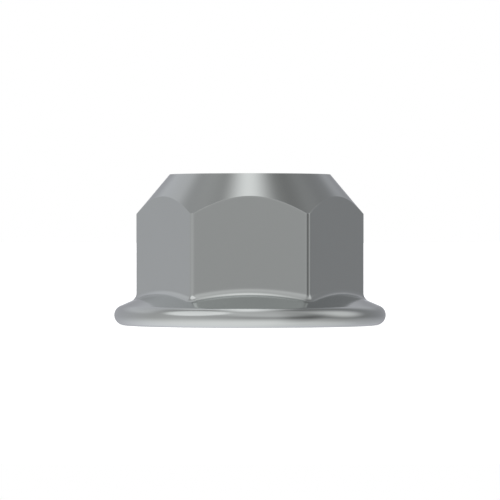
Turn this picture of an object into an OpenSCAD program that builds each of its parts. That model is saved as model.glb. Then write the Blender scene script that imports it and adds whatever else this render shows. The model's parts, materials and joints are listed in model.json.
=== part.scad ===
// Hexagon flange nut: a hexagon with a cone on top and a round flange below, in one piece.
// The origin is the middle of the bearing face, and +Z points up along the thread.

/* [Flange] */
// Outside diameter of the flange
flange_d = 17.8; // [17:0.1:20]
// Slope of the upper side of the flange, in degrees from level
flange_slope = 23.3; // [16:0.1:26]
// Radius of the rounded rim of the flange
rim_r = 0.67; // [0.5:0.01:0.9]

/* [Hexagon] */
// Width of the hexagon across its flats
hex_width = 13; // [12:0.1:13.4]
// Radius on the six upright corners
corner_r = 0.4; // [0.1:0.05:0.5]
// Radius of the fillet where the hexagon grows out of the flange
root_r = 0.56; // [0.3:0.01:0.7]

/* [Top] */
// Height from the bearing face to the top face
nut_h = 9.87; // [9:0.01:12]
// Diameter of the level face at the top
top_d = 10.53; // [9.6:0.01:11.2]
// Slope of the top cone, in degrees from level
top_slope = 50; // [40:1:56]

/* [Thread] */
// Nominal diameter of the thread
thread_d = 8; // [6:0.5:8]
// Pitch of the thread
thread_pitch = 1.25; // [0.75:0.25:1.5]
// Diameter of the countersink at each end of the thread
sink_d = 8.75; // [8.2:0.05:9.2]
// Angle between the sides of each countersink
sink_angle = 120; // [90:5:140]

/* [Hidden] */

// Sides of a full circle in the preview
$fn = 96;
// How far a cut runs past the face that it opens
cut_past = 1;
// How far a level or sloping side dips into the round that it runs into, for a clean edge between them
round_dip = 0.001;
// How far the edges of the fillet dip into the faces that it joins
fillet_dip = 0.003;
// How far the back of the fillet lies inside the hexagon
fillet_back = 1;
// Steps along each flat, around each corner and across the fillet
flat_steps = 8;
corner_steps = 4;
fillet_steps = 6;

// The hole's wall is at the crests of the thread, as ISO metric threads have it
crest_r = (thread_d - 1.0825 * thread_pitch) / 2;
sink_r = sink_d / 2;
sink_depth = (sink_r - crest_r) / tan(sink_angle / 2);

// The hexagon's flats, and the centres of its corner rounds
flat_r = hex_width / 2;
corner_at = (flat_r + round_dip - corner_r) / cos(30);
half_flat = corner_at / 2;

// The rim is an arc between the bearing face and the sloping upper side
rim_at = [flange_d / 2 - rim_r, rim_r];
slope_start = rim_at + (rim_r - round_dip) * [sin(flange_slope), cos(flange_slope)];

// Height of the flange's sloping side at distance r from the axis
function flange_z(r) = slope_start[1] + (slope_start[0] - r) * tan(flange_slope);

// Height of the top cone at distance r from the axis
function cone_z(r) = nut_h - (r - top_d / 2) * tan(top_slope);

// Unit vector at an angle in plan
function toward(angle) = [cos(angle), sin(angle)];

// One place on the hexagon's outline: its point, and its outward direction
function flat_place(side, share) =
    let (out = toward(60 * side + 30), along = toward(60 * side + 120))
    [flat_r * out + half_flat * (2 * share - 1) * along, out];
function corner_place(side, share) =
    let (out = toward(60 * side + 30 + 60 * share))
    [corner_at * toward(60 * side + 60) + corner_r * out, out];

// All places on the outline, once around
places = [
    for (side = [0:5]) each concat(
        [for (i = [0:flat_steps - 1]) flat_place(side, i / flat_steps)],
        [for (i = [0:corner_steps - 1]) corner_place(side, i / corner_steps)])
];

// Section of the fillet at one place: a ball of radius root_r rests against the flat and the flange,
// its arc runs from one touching point to the other, and the section closes inside the metal
function fillet_section(place) =
    let (
        out = place[1],
        centre = place[0] + root_r * out,
        from_axis = norm(centre),
        centre_z = flange_z(from_axis) + root_r / cos(flange_slope),
        ball = [centre[0], centre[1], centre_z],
        to_wall = [-out[0], -out[1], 0],
        lean = sin(flange_slope) / from_axis,
        to_flange = [-centre[0] * lean, -centre[1] * lean, -cos(flange_slope)],
        sweep = acos(to_wall * to_flange),
        arc = [
            for (i = [0:fillet_steps])
                let (
                    a = sin(sweep * (1 - i / fillet_steps)) / sin(sweep),
                    b = sin(sweep * i / fillet_steps) / sin(sweep),
                    reach = (i == 0 || i == fillet_steps) ? root_r + fillet_dip : root_r
                )
                ball + reach * (a * to_wall + b * to_flange)
        ],
        back = place[0] - fillet_back * out
    )
    concat(arc, [
        [arc[fillet_steps][0], arc[fillet_steps][1], flange_z(from_axis) - fillet_back],
        [back[0], back[1], flange_z(from_axis) - fillet_back],
        [back[0], back[1], centre_z]
    ]);

// Closed ring through sections of the same number of points
module ring(sections) {
    count = len(sections);
    size = len(sections[0]);
    polyhedron(
        points = [for (section = sections) each section],
        faces = [
            for (i = [0:count - 1], j = [0:size - 1])
                let (
                    here = i * size,
                    next = ((i + 1) % count) * size,
                    k = (j + 1) % size
                )
                each [[here + j, here + k, next + k], [here + j, next + k, next + j]]
        ]
    );
}

module flange() {
    rotate_extrude() {
        translate(rim_at) circle(rim_r);
        polygon([[0, 0], [rim_at[0], 0], rim_at, slope_start, [0, flange_z(0)]]);
    }
}

// Outline of the hexagon, with its corners rounded
module hexagon() {
    polygon([for (side = [0:5], share = [0, 1]) flat_place(side, share)[0]]);
    for (side = [0:5]) rotate(60 * side) translate([corner_at, 0]) circle(corner_r);
}

// The hexagon as far as the top cone leaves it
module body() {
    intersection() {
        linear_extrude(nut_h) hexagon();
        rotate_extrude() {
            side = flange_d / 2;
            polygon([[0, 0], [side, 0], [side, cone_z(side)], [top_d / 2, nut_h], [0, nut_h]]);
        }
    }
}

// The tapped hole, widened to a countersink at each end
module hole() {
    translate([0, 0, -cut_past]) cylinder(h = nut_h + 2 * cut_past, r = crest_r);
    sink();
    translate([0, 0, nut_h]) mirror([0, 0, 1]) sink();
}

// One countersink, which opens downwards at the bearing face
module sink() {
    slant = tan(sink_angle / 2);
    translate([0, 0, -cut_past])
        cylinder(h = cut_past + sink_depth, r1 = sink_r + cut_past * slant, r2 = crest_r);
}

module flange_nut() {
    color("silver") difference() {
        union() {
            flange();
            body();
            ring([for (place = places) fillet_section(place)]);
        }
        hole();
    }
}

flange_nut();
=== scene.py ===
"""Models a hexagon flange nut in satin steel, with a cut thread, and stands it in a small bright studio."""

import json
import math
from collections import namedtuple

import bpy
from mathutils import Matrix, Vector


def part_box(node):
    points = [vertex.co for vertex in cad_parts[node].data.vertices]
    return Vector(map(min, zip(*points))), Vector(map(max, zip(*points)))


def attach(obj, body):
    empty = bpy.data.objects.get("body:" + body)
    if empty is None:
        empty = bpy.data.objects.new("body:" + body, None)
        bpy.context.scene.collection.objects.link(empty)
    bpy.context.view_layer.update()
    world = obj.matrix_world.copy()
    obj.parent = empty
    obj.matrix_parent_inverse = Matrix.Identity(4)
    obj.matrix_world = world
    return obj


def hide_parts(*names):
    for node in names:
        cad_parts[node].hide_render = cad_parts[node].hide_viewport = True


bl_info = {
    "name": "Hex Flange Nut",
    "version": (1, 0, 0),
    "blender": (4, 5, 0),
    "location": "View3D > Sidebar > Flange Nut",
    "description": "Models a hexagon flange nut with its thread and satin finish, and a studio around it",
    "category": "Object",
}

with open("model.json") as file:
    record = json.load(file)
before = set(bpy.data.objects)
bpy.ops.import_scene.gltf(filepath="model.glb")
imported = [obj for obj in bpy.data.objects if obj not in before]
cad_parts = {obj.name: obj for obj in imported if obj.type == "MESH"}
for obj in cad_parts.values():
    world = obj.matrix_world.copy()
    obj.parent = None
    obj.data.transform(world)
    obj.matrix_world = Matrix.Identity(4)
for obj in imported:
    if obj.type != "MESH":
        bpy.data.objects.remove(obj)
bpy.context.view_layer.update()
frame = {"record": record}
NUT_LOW, NUT_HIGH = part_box("flange_nut")
MOUNTS = {mount["name"]: mount for mount in frame["record"]["mounts"]}

MM = 0.001
SIDES = 6
SIXTH_TURN = math.radians(60)
CREST_SHARE = 1.0825  # an ISO metric thread is this many pitches smaller across its crests
CREST_RADIUS = MOUNTS["thread"]["dims"]["r_mm"] * MM
PITCH = 1.25 * MM


class Wire:
    """A node's output that formulas use like a number or a vector."""

    def __init__(self, maker, socket):
        self.maker = maker
        self.socket = socket

    @property
    def is_vector(self):
        return self.socket.type == "VECTOR"

    def __add__(self, other):
        return self.maker.calculate("ADD", self, other)

    def __sub__(self, other):
        return self.maker.calculate("SUBTRACT", self, other)

    def __mul__(self, other):
        return self.maker.calculate("MULTIPLY", self, other)

    def __truediv__(self, other):
        return self.maker.calculate("DIVIDE", self, other)

    def __radd__(self, other):
        return self.maker.calculate("ADD", other, self)

    def __rsub__(self, other):
        return self.maker.calculate("SUBTRACT", other, self)

    def __rmul__(self, other):
        return self * other

    def __rtruediv__(self, other):
        return self.maker.calculate("DIVIDE", other, self)

    def __neg__(self):
        return self * -1


class Maker:
    """Adds nodes to one tree, from formulas and by type."""

    def __init__(self, tree):
        self.tree = tree

    def add(self, kind, settings=None, values=None, output=0):
        """Adds a node of a kind, with its settings and its sockets' values or links, and gives one output."""
        node = self.tree.nodes.new(kind)
        for name, setting in (settings or {}).items():
            setattr(node, name, setting)
        for name, value in (values or {}).items():
            if isinstance(value, Wire):
                self.tree.links.new(value.socket, node.inputs[name])
            else:
                node.inputs[name].default_value = value
        return Wire(self, node.outputs[output]) if node.outputs else None

    def calculate(self, operation, a, b):
        """One step of a formula on two numbers, two vectors, or a vector and a number that scales it."""
        vectors = [isinstance(value, Wire) and value.is_vector for value in (a, b)]
        if all(vectors):
            return self.add("ShaderNodeVectorMath", {"operation": operation}, {0: a, 1: b})
        if not any(vectors):
            return self.add("ShaderNodeMath", {"operation": operation}, {0: a, 1: b})
        factor = b if operation == "MULTIPLY" else 1 / b
        return self.add("ShaderNodeVectorMath", {"operation": "SCALE"}, {0: a, "Scale": factor})

    def math(self, operation, *values):
        return self.add("ShaderNodeMath", {"operation": operation}, dict(enumerate(values)))

    def clamp(self, value):
        return self.add("ShaderNodeClamp", values={"Value": value})

    def vector(self, x, y, z):
        return self.add("ShaderNodeCombineXYZ", values={"X": x, "Y": y, "Z": z})

    def up(self, height):
        return self.vector(0.0, 0.0, height)

    def toward(self, angle):
        """The level unit vector at an angle around the axis."""
        return self.vector(self.math("COSINE", angle), self.math("SINE", angle), 0.0)

    def dot(self, a, b):
        return self.add("ShaderNodeVectorMath", {"operation": "DOT_PRODUCT"}, {0: a, 1: b}, "Value")

    def length(self, a):
        return self.add("ShaderNodeVectorMath", {"operation": "LENGTH"}, {0: a}, "Value")

    def mix(self, a, b, share):
        return a * (1 - share) + b * share

    def ease(self, value, start, end, before, after):
        """A smooth change from one level to another while the value runs from start to end."""
        return self.add(
            "ShaderNodeMapRange",
            {"interpolation_type": "SMOOTHSTEP"},
            {"Value": value, "From Min": start, "From Max": end, "To Min": before, "To Max": after},
        )

    def switch(self, level, before, after):
        """The second place where a level is above zero, and the first elsewhere."""
        past = self.math("GREATER_THAN", level, 0.0)
        return self.add(
            "GeometryNodeSwitch", {"input_type": "VECTOR"}, {"Switch": past, "False": before, "True": after}
        )

    def mix_colours(self, a, b, share):
        return self.add("ShaderNodeMix", {"data_type": "RGBA"}, {0: share, 6: a, 7: b}, 2)

    def noise(self, place, size, detail):
        return self.add("ShaderNodeTexNoise", values={"Vector": place, "Scale": 1 / size, "Detail": detail})


def length_property(name, description, default):
    return bpy.props.FloatProperty(
        name=name,
        description=description,
        default=default,
        min=0.0,
        subtype="DISTANCE",
        unit="LENGTH",
        precision=5,
    )


def angle_property(name, description, degrees):
    return bpy.props.FloatProperty(
        name=name,
        description=description,
        default=math.radians(degrees),
        min=0.0,
        subtype="ANGLE",
        unit="ROTATION",
    )


def share_property(name, description, default):
    return bpy.props.FloatProperty(name=name, description=description, default=default, min=0.0, max=1.0)


def level_property(name, description, default):
    return bpy.props.FloatProperty(name=name, description=description, default=default, min=0.0, soft_max=2.0)


def colour_property(name, description, default):
    return bpy.props.FloatVectorProperty(
        name=name, description=description, default=default, min=0.0, max=1.0, size=3, subtype="COLOR"
    )


class FlangeNutSizes(bpy.types.PropertyGroup):
    """The nut's own sizes."""

    flange_diameter: length_property(
        "Flange Diameter", "Outside diameter of the flange", NUT_HIGH.x - NUT_LOW.x
    )
    flange_slope: angle_property("Flange Slope", "Slope of the flange's upper side from level", 23.3)
    rim_radius: length_property("Rim Radius", "Radius of the flange's rounded rim", 0.67 * MM)
    hex_width: length_property("Hexagon Width", "Width of the hexagon across its flats", 13 * MM)
    corner_radius: length_property("Corner Radius", "Radius on the upright corners", 0.4 * MM)
    root_radius: length_property("Root Radius", "Fillet between the hexagon and the flange", 0.56 * MM)
    edge_radius: length_property("Edge Radius", "Rounding of the edges of the top cone", 0.015 * MM)
    height: length_property("Height", "Height from the bearing face to the top face", NUT_HIGH.z - NUT_LOW.z)
    top_diameter: length_property(
        "Top Diameter", "Diameter where the top cone meets the top face", 10.53 * MM
    )
    top_slope: angle_property("Top Slope", "Slope of the top cone from level", 50)
    thread_diameter: length_property(
        "Thread Diameter", "Nominal diameter of the thread", 2 * CREST_RADIUS + CREST_SHARE * PITCH
    )
    thread_pitch: length_property("Thread Pitch", "Rise of the thread for each turn", PITCH)
    sink_diameter: length_property("Countersink Diameter", "Mouth of the countersink at each end", 8.75 * MM)
    sink_angle: angle_property("Countersink Angle", "Angle between the sides of a countersink", 120)


class FlangeNutFinish(bpy.types.PropertyGroup):
    """The steel's colour and surface."""

    steel_colour: colour_property("Steel Colour", "Colour of the bare steel", (0.54, 0.56, 0.555))
    shade_colour: colour_property("Shade Colour", "Colour of its duller clouds", (0.525, 0.545, 0.54))
    cloud_size: length_property("Cloud Size", "Size of the duller clouds", 2 * MM)
    roughness: share_property("Roughness", "How far the satin finish spreads a reflection", 0.15)
    roughness_spread: share_property("Roughness Spread", "How much the spread changes in the clouds", 0.03)
    grain_size: length_property("Grain Size", "Size of the fine grain", 0.12 * MM)
    grain_depth: length_property("Grain Depth", "Depth of the fine grain", 0.0006 * MM)


class FlangeNutStudio(bpy.types.PropertyGroup):
    """The camera, the floor and the light."""

    camera_distance: length_property(
        "Camera Distance", "Distance from the camera to the thread's axis", 255 * MM
    )
    camera_height: length_property("Camera Height", "Height of the camera above the floor", 5.84 * MM)
    focal_length: bpy.props.FloatProperty(
        name="Focal Length", description="Focal length of the camera", default=280.2, unit="CAMERA"
    )
    aim_height: length_property(
        "Aim Height", "Height on the thread's axis that the camera points at", 4.92 * MM
    )
    floor_width: length_property("Floor Width", "Width of the square floor", 6.0)
    floor_colour: colour_property("Floor Colour", "Colour of the floor", (0.9, 0.9, 0.9))
    paper_glow: level_property("Paper Glow", "White that the floor shows beyond the light it gets", 0.75)
    wall_level: level_property("Wall Level", "Brightness of the room all around", 0.25)
    left_level: level_property("Left Level", "How much brighter the wall on the left is", 0.3)
    front_level: level_property("Front Level", "How much brighter the wall behind the camera is", 0.2)
    back_level: level_property("Back Level", "How much brighter the wall behind the nut is", 0.15)
    sweep_level: level_property("Sweep Level", "Brightness of the sweep straight below the nut", 1.1)
    daylight: colour_property("Daylight", "Tint of the light from behind the nut", (0.93, 0.94, 1.0))


# Columns of points along each flat and around each corner
FLAT_STEPS = 28
CORNER_STEPS = 8
SIDE_STEPS = FLAT_STEPS + CORNER_STEPS
# Rows of points across each rounded stretch of the profile, and across a straight one
RIM_STEPS = 22
ROOT_STEPS = 12
EDGE_STEPS = 4
LINE_STEPS = 3
# A straight stretch has a row this share of its length from each end, which keeps its shading level
LINE_MARGIN = 0.02
# Points closer than this become one, and edges that turn more than this angle stay sharp
WELD_DISTANCE = 1.5e-6
SHARP_ANGLE = math.radians(25)
# Points around each turn of the thread, and how many pitches deep and wide at its tip the tap's section is
THREAD_STEPS = 96
TAP_DEPTH_SHARE = 0.64
TAP_TIP_SHARE = 1 / 8
FLANK_ANGLE = math.radians(30)
# Octaves of the two noises in the steel
GRAIN_DETAIL = 3.0
CLOUD_DETAIL = 2.0
WHITE = (1.0, 1.0, 1.0, 1.0)
LEFT, FRONT, BACK, BELOW = (-1.0, 0.0, 0.0), (0.0, -1.0, 0.0), (0.0, 1.0, 0.0), (0.0, 0.0, -1.0)
# The sweep has its full level in directions whose downward part is this or more
SWEEP_DEPTH = 0.9
# Where each soft box stands, in degrees around from +X and up from the horizon, how far it reaches and fades,
# how many times taller than wide it is, and its level. A level below zero takes light away.
SoftBox = namedtuple("SoftBox", "name azimuth elevation reach fade stretch level")
SOFT_BOXES = (
    SoftBox("overhead", 260, 90, 0, 20, 2, 1),
    SoftBox("overhead behind", 135, 70, 5, 15, 1, 0.4),
    SoftBox("left", 215, 40, 20, 10, 1, 0.6),
    SoftBox("right", 0, 25, 5, 25, 1.5, 0.6),
    SoftBox("front", 290, 40, 20, 30, 1, 0.3),
    SoftBox("back", 110, 40, 35, 25, 0.3, 0.2),
    SoftBox("black flag", 315, 0, 5, 20, 5, -0.2),
    SoftBox("white card", 90, 0, 5, 5, 1, 0.6),
    SoftBox("shade on the sweep", 20, -50, 30, 30, 0.5, -0.2),
)


def outline(maker, sizes, column):
    """The point of the rounded hexagon that a column of the sheet runs through, and its outward direction."""
    side = maker.math("FLOOR", column / SIDE_STEPS)
    step = column - side * SIDE_STEPS
    along = maker.clamp(step / FLAT_STEPS)
    turn = maker.clamp((step - FLAT_STEPS) / CORNER_STEPS)
    out = maker.toward((side + 0.5 + turn) * SIXTH_TURN)
    centres_at = (sizes["Hexagon Width"] / 2 - sizes["Corner Radius"]) / math.cos(SIXTH_TURN / 2)
    centre = maker.mix(maker.toward(side * SIXTH_TURN), maker.toward((side + 1) * SIXTH_TURN), along)
    return centre * centres_at + out * sizes["Corner Radius"], out


def arc(maker, centre, radius, start, end):
    """A round stretch between two directions from its centre, as a function of the share run."""
    sweep = maker.math("ARCCOSINE", maker.dot(start, end))

    def point(share):
        back = maker.math("SINE", sweep * (1 - share))
        ahead = maker.math("SINE", sweep * share)
        return centre + (start * back + end * ahead) * (radius / maker.math("SINE", sweep))

    return point


def profile(maker, sizes, place, out):
    """The nut's profile in one column, from the hole at the bearing face around the outside and back.

    Each entry is a count of rows and a function of the share run across them.
    Straight lines join the entries.
    """
    up = maker.up
    level_up = up(1.0)
    flange_slope = sizes["Flange Slope"]
    rise, run = maker.math("SINE", flange_slope), maker.math("COSINE", flange_slope)
    top_rise, top_run = maker.math("SINE", sizes["Top Slope"]), maker.math("COSINE", sizes["Top Slope"])
    rim_radius, root_radius, edge_radius = sizes["Rim Radius"], sizes["Root Radius"], sizes["Edge Radius"]
    height = sizes["Height"]
    top_radius = sizes["Top Diameter"] / 2

    # The ball that forms the root fillet rests against the flat and the flange
    root_at = place + out * root_radius
    root_out = root_at / maker.length(root_at)
    rim_at = sizes["Flange Diameter"] / 2 - rim_radius
    slope_normal = root_out * rise + up(run)
    drop = (maker.length(root_at) - rim_at - rim_radius * rise) * (rise / run)
    root_height = rim_radius * (1 + run) - drop + root_radius / run
    rim = arc(maker, root_out * rim_at + up(rim_radius), rim_radius, -level_up, slope_normal)
    root = arc(maker, root_at + up(root_height), root_radius, -slope_normal, -out)

    # The ball that rounds the edge between a flat and the top cone touches both from inside
    edge_at = place - out * edge_radius
    edge_out = edge_at / maker.length(edge_at)
    cone_normal = edge_out * top_rise + up(top_run)
    edge_height = height - (maker.length(edge_at) - top_radius) * (top_rise / top_run) - edge_radius / top_run
    edge = arc(maker, edge_at + up(edge_height), edge_radius, out, cone_normal)
    inset = edge_radius * ((1 - top_run) / top_rise)
    top_edge_at = edge_out * (top_radius - inset) + up(height - edge_radius)
    top_edge = arc(maker, top_edge_at, edge_radius, cone_normal, level_up)

    sink_radius = sizes["Countersink Diameter"] / 2
    crest_radius = (sizes["Thread Diameter"] - sizes["Thread Pitch"] * CREST_SHARE) / 2
    sink_depth = (sink_radius - crest_radius) / maker.math("TANGENT", sizes["Countersink Angle"] / 2)

    def corner(point):
        return 0, lambda share: point

    return [
        corner(root_out * crest_radius + up(sink_depth)),
        corner(root_out * sink_radius),
        (RIM_STEPS, rim),
        (ROOT_STEPS, root),
        (EDGE_STEPS, edge),
        (EDGE_STEPS, top_edge),
        corner(edge_out * sink_radius + up(height)),
        corner(edge_out * crest_radius + up(height - sink_depth)),
    ]


def wrap(maker, sizes):
    """A closed sheet around the whole nut: its columns run around the axis, its rows along the profile."""
    columns = SIDES * SIDE_STEPS + 1
    index = maker.add("GeometryNodeInputIndex")
    row = maker.math("FLOOR", index / columns)
    stretches = profile(maker, sizes, *outline(maker, sizes, index - row * columns))
    point = stretches[0][1](0)
    rows = 0
    for (steps, curve), (_, following) in zip(stretches, stretches[1:] + stretches[:1]):
        if steps:
            point = maker.switch(row - rows, point, curve(maker.clamp((row - rows) / steps)))
            rows += steps
        level = row - rows
        share = maker.clamp(level) * LINE_MARGIN + maker.clamp(level - 1) * (1 - 2 * LINE_MARGIN)
        share = share + maker.clamp(level - 2) * LINE_MARGIN
        point = maker.switch(level, point, maker.mix(curve(1), following(0), share))
        rows += LINE_STEPS
    grid = maker.add("GeometryNodeMeshGrid", values={"Vertices X": rows + 1, "Vertices Y": columns})
    placed = maker.add("GeometryNodeSetPosition", values={"Geometry": grid, "Position": point})
    closed = maker.add("GeometryNodeMergeByDistance", values={"Geometry": placed, "Distance": WELD_DISTANCE})
    return maker.add("GeometryNodeFlipFaces", values={"Mesh": closed})


def tap(maker, sizes):
    """The helical groove that a thread tap cuts, as a solid that runs past both ends of the hole."""
    pitch = sizes["Thread Pitch"]
    height = sizes["Height"] + pitch * 2
    radius = sizes["Thread Diameter"] / 2
    spiral = maker.add(
        "GeometryNodeCurveSpiral",
        values={
            "Resolution": THREAD_STEPS,
            "Rotations": height / pitch,
            "Start Radius": radius,
            "End Radius": radius,
            "Height": height,
            "Reverse": True,
        },
    )
    placed = maker.add("GeometryNodeSetPosition", values={"Geometry": spiral, "Offset": maker.up(-pitch)})
    upright = maker.add("GeometryNodeSetCurveNormal", {"mode": "Z_UP"}, {"Curve": placed})
    tip_half = pitch * (TAP_TIP_SHARE / 2)
    depth = pitch * TAP_DEPTH_SHARE
    mouth_half = tip_half + depth * math.tan(FLANK_ANGLE)
    section = maker.add(
        "GeometryNodeCurvePrimitiveQuadrilateral",
        {"mode": "POINTS"},
        {
            "Point 1": maker.vector(0.0, tip_half, 0.0),
            "Point 2": maker.vector(-depth, mouth_half, 0.0),
            "Point 3": maker.vector(-depth, -mouth_half, 0.0),
            "Point 4": maker.vector(0.0, -tip_half, 0.0),
        },
    )
    return maker.add(
        "GeometryNodeCurveToMesh", values={"Curve": upright, "Profile Curve": section, "Fill Caps": True}
    )


def nut_tree(sizes, material):
    """The nodes that turn the sizes into the whole nut, with one named input for each size."""
    tree = bpy.data.node_groups.new("Flange Nut", "GeometryNodeTree")
    for prop in size_properties(sizes):
        socket = tree.interface.new_socket(prop.name, in_out="INPUT", socket_type="NodeSocketFloat")
        socket.default_value = prop.default
    tree.interface.new_socket("Nut", in_out="OUTPUT", socket_type="NodeSocketGeometry")
    maker = Maker(tree)
    given = tree.nodes.new("NodeGroupInput")
    wires = {prop.name: Wire(maker, given.outputs[prop.name]) for prop in size_properties(sizes)}
    cut = maker.add(
        "GeometryNodeMeshBoolean",
        {"operation": "DIFFERENCE", "solver": "MANIFOLD"},
        {"Mesh 1": wrap(maker, wires), "Mesh 2": tap(maker, wires)},
    )
    welded = maker.add("GeometryNodeMergeByDistance", values={"Geometry": cut, "Distance": WELD_DISTANCE})
    faces = maker.add("GeometryNodeTriangulate", {"ngon_method": "BEAUTY"}, {"Mesh": welded})
    smooth = maker.add(
        "GeometryNodeSetShadeSmooth", {"domain": "FACE"}, {"Geometry": faces, "Shade Smooth": True}
    )
    angle = maker.add("GeometryNodeInputMeshEdgeAngle")
    sharp = maker.math("GREATER_THAN", angle, SHARP_ANGLE)
    creased = maker.add(
        "GeometryNodeSetShadeSmooth",
        {"domain": "EDGE"},
        {"Geometry": smooth, "Selection": sharp, "Shade Smooth": False},
    )
    whole = maker.add("GeometryNodeRealizeInstances", values={"Geometry": creased})
    finished = maker.add("GeometryNodeSetMaterial", values={"Geometry": whole, "Material": material})
    tree.links.new(finished.socket, tree.nodes.new("NodeGroupOutput").inputs[0])
    return tree


def size_properties(sizes):
    return [prop for prop in sizes.bl_rna.properties if prop.identifier in FlangeNutSizes.__annotations__]


def model_nut(sizes, material):
    """Runs the nut's nodes once with the sizes and keeps the result as a plain mesh."""
    piece = bpy.data.objects.new("satin_flange_nut", bpy.data.meshes.new("satin_flange_nut"))
    bpy.context.scene.collection.objects.link(piece)
    tree = nut_tree(sizes, material)
    modifier = piece.modifiers.new("Flange Nut", "NODES")
    modifier.node_group = tree
    inputs = {item.name: item.identifier for item in tree.interface.items_tree if item.in_out == "INPUT"}
    for prop in size_properties(sizes):
        modifier[inputs[prop.name]] = getattr(sizes, prop.identifier)
    graph = bpy.context.evaluated_depsgraph_get()
    mesh = bpy.data.meshes.new_from_object(piece.evaluated_get(graph))
    piece.modifiers.remove(modifier)
    mesh.materials.pop(index=0)  # the boolean leaves an empty slot before the material's own
    piece.data = mesh
    return piece


def satin_steel(finish):
    """Bare steel with a fine tumbled grain."""
    material = bpy.data.materials.new("Satin Steel")
    material.use_nodes = True
    material.node_tree.nodes.clear()
    maker = Maker(material.node_tree)
    place = maker.add("ShaderNodeTexCoord", output="Object")
    grain = maker.noise(place, finish.grain_size, GRAIN_DETAIL)
    cloud = maker.noise(place, finish.cloud_size, CLOUD_DETAIL)
    tint = maker.mix_colours((*finish.steel_colour, 1.0), (*finish.shade_colour, 1.0), cloud)
    bump = maker.add("ShaderNodeBump", values={"Height": grain * finish.grain_depth, "Distance": 1.0})
    shader = maker.add(
        "ShaderNodeBsdfPrincipled",
        values={
            "Base Color": tint,
            "Metallic": 1.0,
            "Roughness": finish.roughness + (cloud - 0.5) * finish.roughness_spread,
            "Normal": bump,
        },
    )
    maker.add("ShaderNodeOutputMaterial", values={"Surface": shader})
    return material


def floor_paper(studio):
    """White paper that keeps the nut's shadow. Reflections look past it, at the sweep below the horizon."""
    material = bpy.data.materials.new("Floor Paper")
    material.use_nodes = True
    material.node_tree.nodes.clear()
    maker = Maker(material.node_tree)
    lit = maker.add("ShaderNodeBsdfDiffuse", values={"Color": (*studio.floor_colour, 1.0)})
    glow = maker.add("ShaderNodeEmission", values={"Color": WHITE, "Strength": studio.paper_glow})
    bright = maker.add("ShaderNodeAddShader", values={0: lit, 1: glow})
    paper = maker.add("ShaderNodeMixShader", values={0: seen_directly(maker), 1: lit, 2: bright})
    passed = maker.add("ShaderNodeBsdfTransparent")
    glossy = maker.add("ShaderNodeLightPath", output="Is Glossy Ray")
    shader = maker.add("ShaderNodeMixShader", values={0: glossy, 1: paper, 2: passed})
    maker.add("ShaderNodeOutputMaterial", values={"Surface": shader})
    return material


def seen_directly(maker):
    """One for rays from the camera, straight or through glass, and zero for rays that light things."""
    straight = maker.add("ShaderNodeLightPath", output="Is Camera Ray")
    through_glass = maker.add("ShaderNodeLightPath", output="Is Transmission Ray")
    return maker.clamp(straight + through_glass)


def soft_box(maker, direction, box):
    """The light that one soft box sends from each direction, full in its middle and fading at its edges."""
    turn, tilt = math.radians(box.azimuth), math.radians(box.elevation)
    middle = Vector((math.cos(tilt) * math.cos(turn), math.cos(tilt) * math.sin(turn), math.sin(tilt)))
    across = Vector((-math.sin(turn), math.cos(turn), 0.0))
    sideways = maker.dot(direction, across)
    upward = maker.dot(direction, middle.cross(across)) / box.stretch
    off_middle = maker.math("SQRT", sideways * sideways + upward * upward)
    angle = maker.math("ARCTAN2", off_middle, maker.dot(direction, middle))
    return maker.ease(angle, math.radians(box.reach), math.radians(box.reach + box.fade), box.level, 0.0)


def light_room(studio):
    """The room around the nut: walls, soft boxes, and below the horizon the white sweep that it stands on.

    The camera sees plain white wherever it looks past the nut.
    """
    world = bpy.data.worlds.new("Studio Room")
    bpy.context.scene.world = world
    world.use_nodes = True
    # Sampled on its own, light from below would be stopped by the floor, which only reflections pass
    world.cycles.sampling_method = "NONE"
    world.node_tree.nodes.clear()
    maker = Maker(world.node_tree)
    direction = maker.add("ShaderNodeTexCoord", output="Generated")
    room = studio.wall_level
    for side, level in ((LEFT, studio.left_level), (FRONT, studio.front_level), (BACK, studio.back_level)):
        room = room + maker.clamp(maker.dot(direction, side)) * level
    below = maker.ease(maker.dot(direction, BELOW), 0.0, SWEEP_DEPTH, 0.0, 1.0)
    room = maker.mix(room, studio.sweep_level, below)
    for box in SOFT_BOXES:
        room = room + soft_box(maker, direction, box)
    behind = maker.clamp(maker.dot(direction, BACK))
    tint = maker.mix_colours(WHITE, (*studio.daylight, 1.0), behind)
    studio_light = maker.add("ShaderNodeBackground", values={"Color": tint, "Strength": room})
    white = maker.add("ShaderNodeBackground", values={"Color": WHITE, "Strength": 1.0})
    shader = maker.add("ShaderNodeMixShader", values={0: seen_directly(maker), 1: studio_light, 2: white})
    maker.add("ShaderNodeOutputWorld", values={"Surface": shader})


def lay_floor(studio):
    half = studio.floor_width / 2
    corners = [(-half, -half, 0), (half, -half, 0), (half, half, 0), (-half, half, 0)]
    mesh = bpy.data.meshes.new("floor")
    mesh.from_pydata(corners, [], [(0, 1, 2, 3)])
    mesh.materials.append(floor_paper(studio))
    floor = bpy.data.objects.new("floor", mesh)
    bpy.context.scene.collection.objects.link(floor)


def stand_camera(studio):
    data = bpy.data.cameras.new("camera")
    data.lens = studio.focal_length
    camera = bpy.data.objects.new("camera", data)
    camera.location = (0.0, -studio.camera_distance, studio.camera_height)
    sight = Vector((0.0, studio.camera_distance, studio.aim_height - studio.camera_height))
    camera.rotation_euler = sight.to_track_quat("-Z", "Y").to_euler()
    bpy.context.scene.collection.objects.link(camera)
    bpy.context.scene.camera = camera


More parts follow.
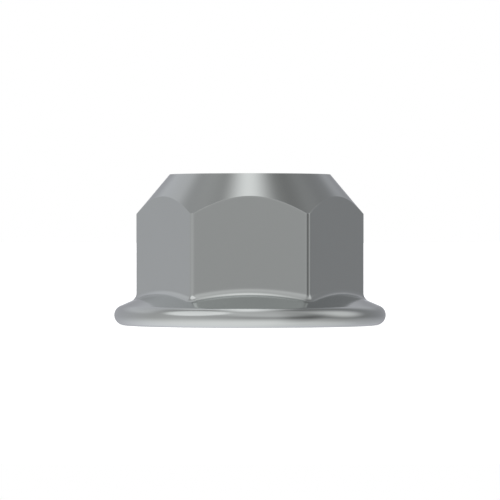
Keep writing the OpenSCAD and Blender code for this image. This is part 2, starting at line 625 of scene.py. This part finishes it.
class FLANGENUT_OT_model_nut(bpy.types.Operator):
    """Models the nut with its thread and gives it its satin finish"""

    bl_idname = "flange_nut.model_nut"
    bl_label = "Model Nut"

    def execute(self, context):
        scene = context.scene
        nut = model_nut(scene.flange_nut_sizes, satin_steel(scene.flange_nut_finish))
        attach(nut, "root")
        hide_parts("flange_nut")
        return {"FINISHED"}


class FLANGENUT_OT_set_stage(bpy.types.Operator):
    """Lays the floor, lights the room and stands the camera"""

    bl_idname = "flange_nut.set_stage"
    bl_label = "Set Stage"

    def execute(self, context):
        studio = context.scene.flange_nut_studio
        lay_floor(studio)
        light_room(studio)
        stand_camera(studio)
        context.scene.view_settings.view_transform = "Standard"
        return {"FINISHED"}


class FLANGENUT_PT_panel(bpy.types.Panel):
    bl_idname = "FLANGENUT_PT_panel"
    bl_label = "Flange Nut"
    bl_space_type = "VIEW_3D"
    bl_region_type = "UI"
    bl_category = "Flange Nut"

    def draw(self, context):
        for operator, groups in PANEL_ROWS:
            for name in groups:
                group = getattr(context.scene, name)
                for prop in type(group).__annotations__:
                    self.layout.prop(group, prop)
            self.layout.operator(operator)


PANEL_ROWS = (
    (FLANGENUT_OT_model_nut.bl_idname, ("flange_nut_sizes", "flange_nut_finish")),
    (FLANGENUT_OT_set_stage.bl_idname, ("flange_nut_studio",)),
)
GROUPS = {
    "flange_nut_sizes": FlangeNutSizes,
    "flange_nut_finish": FlangeNutFinish,
    "flange_nut_studio": FlangeNutStudio,
}
CLASSES = (*GROUPS.values(), FLANGENUT_OT_model_nut, FLANGENUT_OT_set_stage, FLANGENUT_PT_panel)


def register():
    for cls in CLASSES:
        bpy.utils.register_class(cls)
    for name, group in GROUPS.items():
        setattr(bpy.types.Scene, name, bpy.props.PointerProperty(type=group))


def unregister():
    for name in GROUPS:
        delattr(bpy.types.Scene, name)
    for cls in reversed(CLASSES):
        bpy.utils.unregister_class(cls)


def main():
    register()
    bpy.ops.flange_nut.model_nut()
    bpy.ops.flange_nut.set_stage()


if __name__ == "__main__":
    main()
